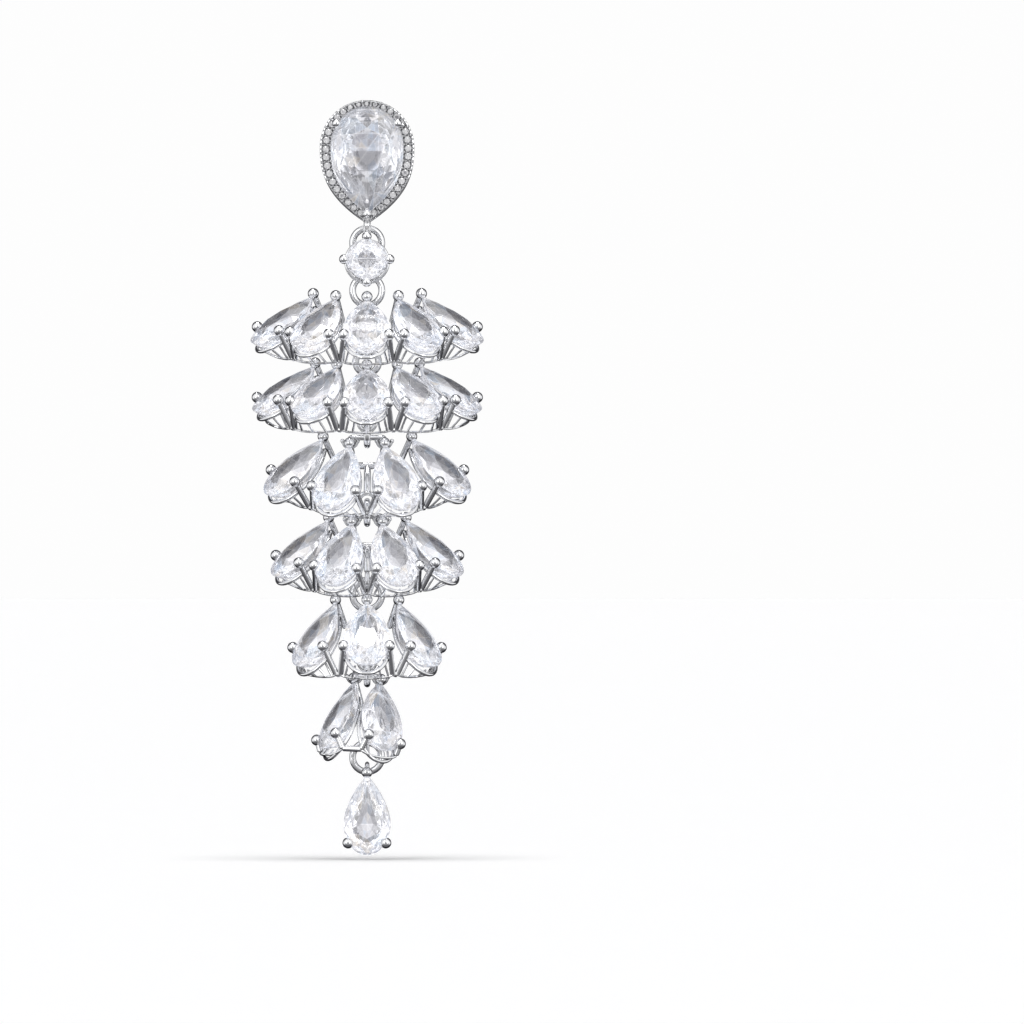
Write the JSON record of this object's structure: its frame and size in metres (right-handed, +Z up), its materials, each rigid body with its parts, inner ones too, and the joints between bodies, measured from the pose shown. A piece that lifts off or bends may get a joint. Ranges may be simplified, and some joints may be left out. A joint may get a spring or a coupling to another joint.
{
  "type": "chandelier earring",
  "caption": "Chandelier earring: pear halo stud, small round link, curved tiers of pear-cut stones linked one under another by jump rings, and a last pear drop.",
  "frame": {"origin": "on the back face of the stud's back bar, in the middle, where the ear post starts", "axes": "+Z up as worn; -Y out of the front of the stud, towards the viewer; +X to the viewer's right"},
  "size_m": [0.0202, 0.0199, 0.0658],
  "materials": {
    "silver": "polished white metal, rhodium plated",
    "crystal": "clear cut stone, highly polished"
  },
  "bodies": {
    "stud": {"stud_setting": "silver", "stud_stone": "crystal", "ear_post": "silver"},
    "main_drop": {"jump_ring_1": "silver", "round_link_setting": "silver", "round_link_stone": "crystal"},
    "tier_1": {"jump_ring_2": "silver", "tier_1_setting": "silver", "tier_1_stone_1": "crystal", "tier_1_stone_2": "crystal", "tier_1_stone_3": "crystal", "tier_1_stone_4": "crystal", "tier_1_stone_5": "crystal"},
    "tier_2": {"jump_ring_3": "silver", "tier_2_setting": "silver", "tier_2_stone_1": "crystal", "tier_2_stone_2": "crystal", "tier_2_stone_3": "crystal", "tier_2_stone_4": "crystal", "tier_2_stone_5": "crystal"},
    "tier_3": {"jump_ring_4": "silver", "tier_3_setting": "silver", "tier_3_stone_1": "crystal", "tier_3_stone_2": "crystal", "tier_3_stone_3": "crystal", "tier_3_stone_4": "crystal"},
    "tier_4": {"jump_ring_5": "silver", "tier_4_setting": "silver", "tier_4_stone_1": "crystal", "tier_4_stone_2": "crystal", "tier_4_stone_3": "crystal", "tier_4_stone_4": "crystal"},
    "tier_5": {"jump_ring_6": "silver", "tier_5_setting": "silver", "tier_5_stone_1": "crystal", "tier_5_stone_2": "crystal", "tier_5_stone_3": "crystal"},
    "tier_6": {"jump_ring_7": "silver", "tier_6_setting": "silver", "tier_6_stone_1": "crystal", "tier_6_stone_2": "crystal", "jump_ring_8": "silver", "drop_setting": "silver", "drop_stone": "crystal"}
  },
  "joints": [
    {"name": "main_drop_swing", "type": "hinge", "parent": "stud", "child": "main_drop", "pos_m": [0, -0.0022, -0.007], "axis": [0, 1, 0], "range_deg": [-30, 30]},
    {"name": "tier_1_swing", "type": "hinge", "parent": "main_drop", "child": "tier_1", "pos_m": [0, -0.0022, -0.01115], "axis": [0, 1, 0], "range_deg": [-15, 15]},
    {"name": "tier_2_swing", "type": "hinge", "parent": "tier_1", "child": "tier_2", "pos_m": [0, -0.0022, -0.01765], "axis": [0, 1, 0], "range_deg": [-15, 15]},
    {"name": "tier_3_swing", "type": "hinge", "parent": "tier_2", "child": "tier_3", "pos_m": [0, -0.0022, -0.02395], "axis": [0, 1, 0], "range_deg": [-15, 15]},
    {"name": "tier_4_swing", "type": "hinge", "parent": "tier_3", "child": "tier_4", "pos_m": [0, -0.0022, -0.0308], "axis": [0, 1, 0], "range_deg": [-15, 15]},
    {"name": "tier_5_swing", "type": "hinge", "parent": "tier_4", "child": "tier_5", "pos_m": [0, -0.0022, -0.03768], "axis": [0, 1, 0], "range_deg": [-15, 15]},
    {"name": "tier_6_swing", "type": "hinge", "parent": "tier_5", "child": "tier_6", "pos_m": [0, -0.0022, -0.0448], "axis": [0, 1, 0], "range_deg": [-15, 15]}
  ]
}
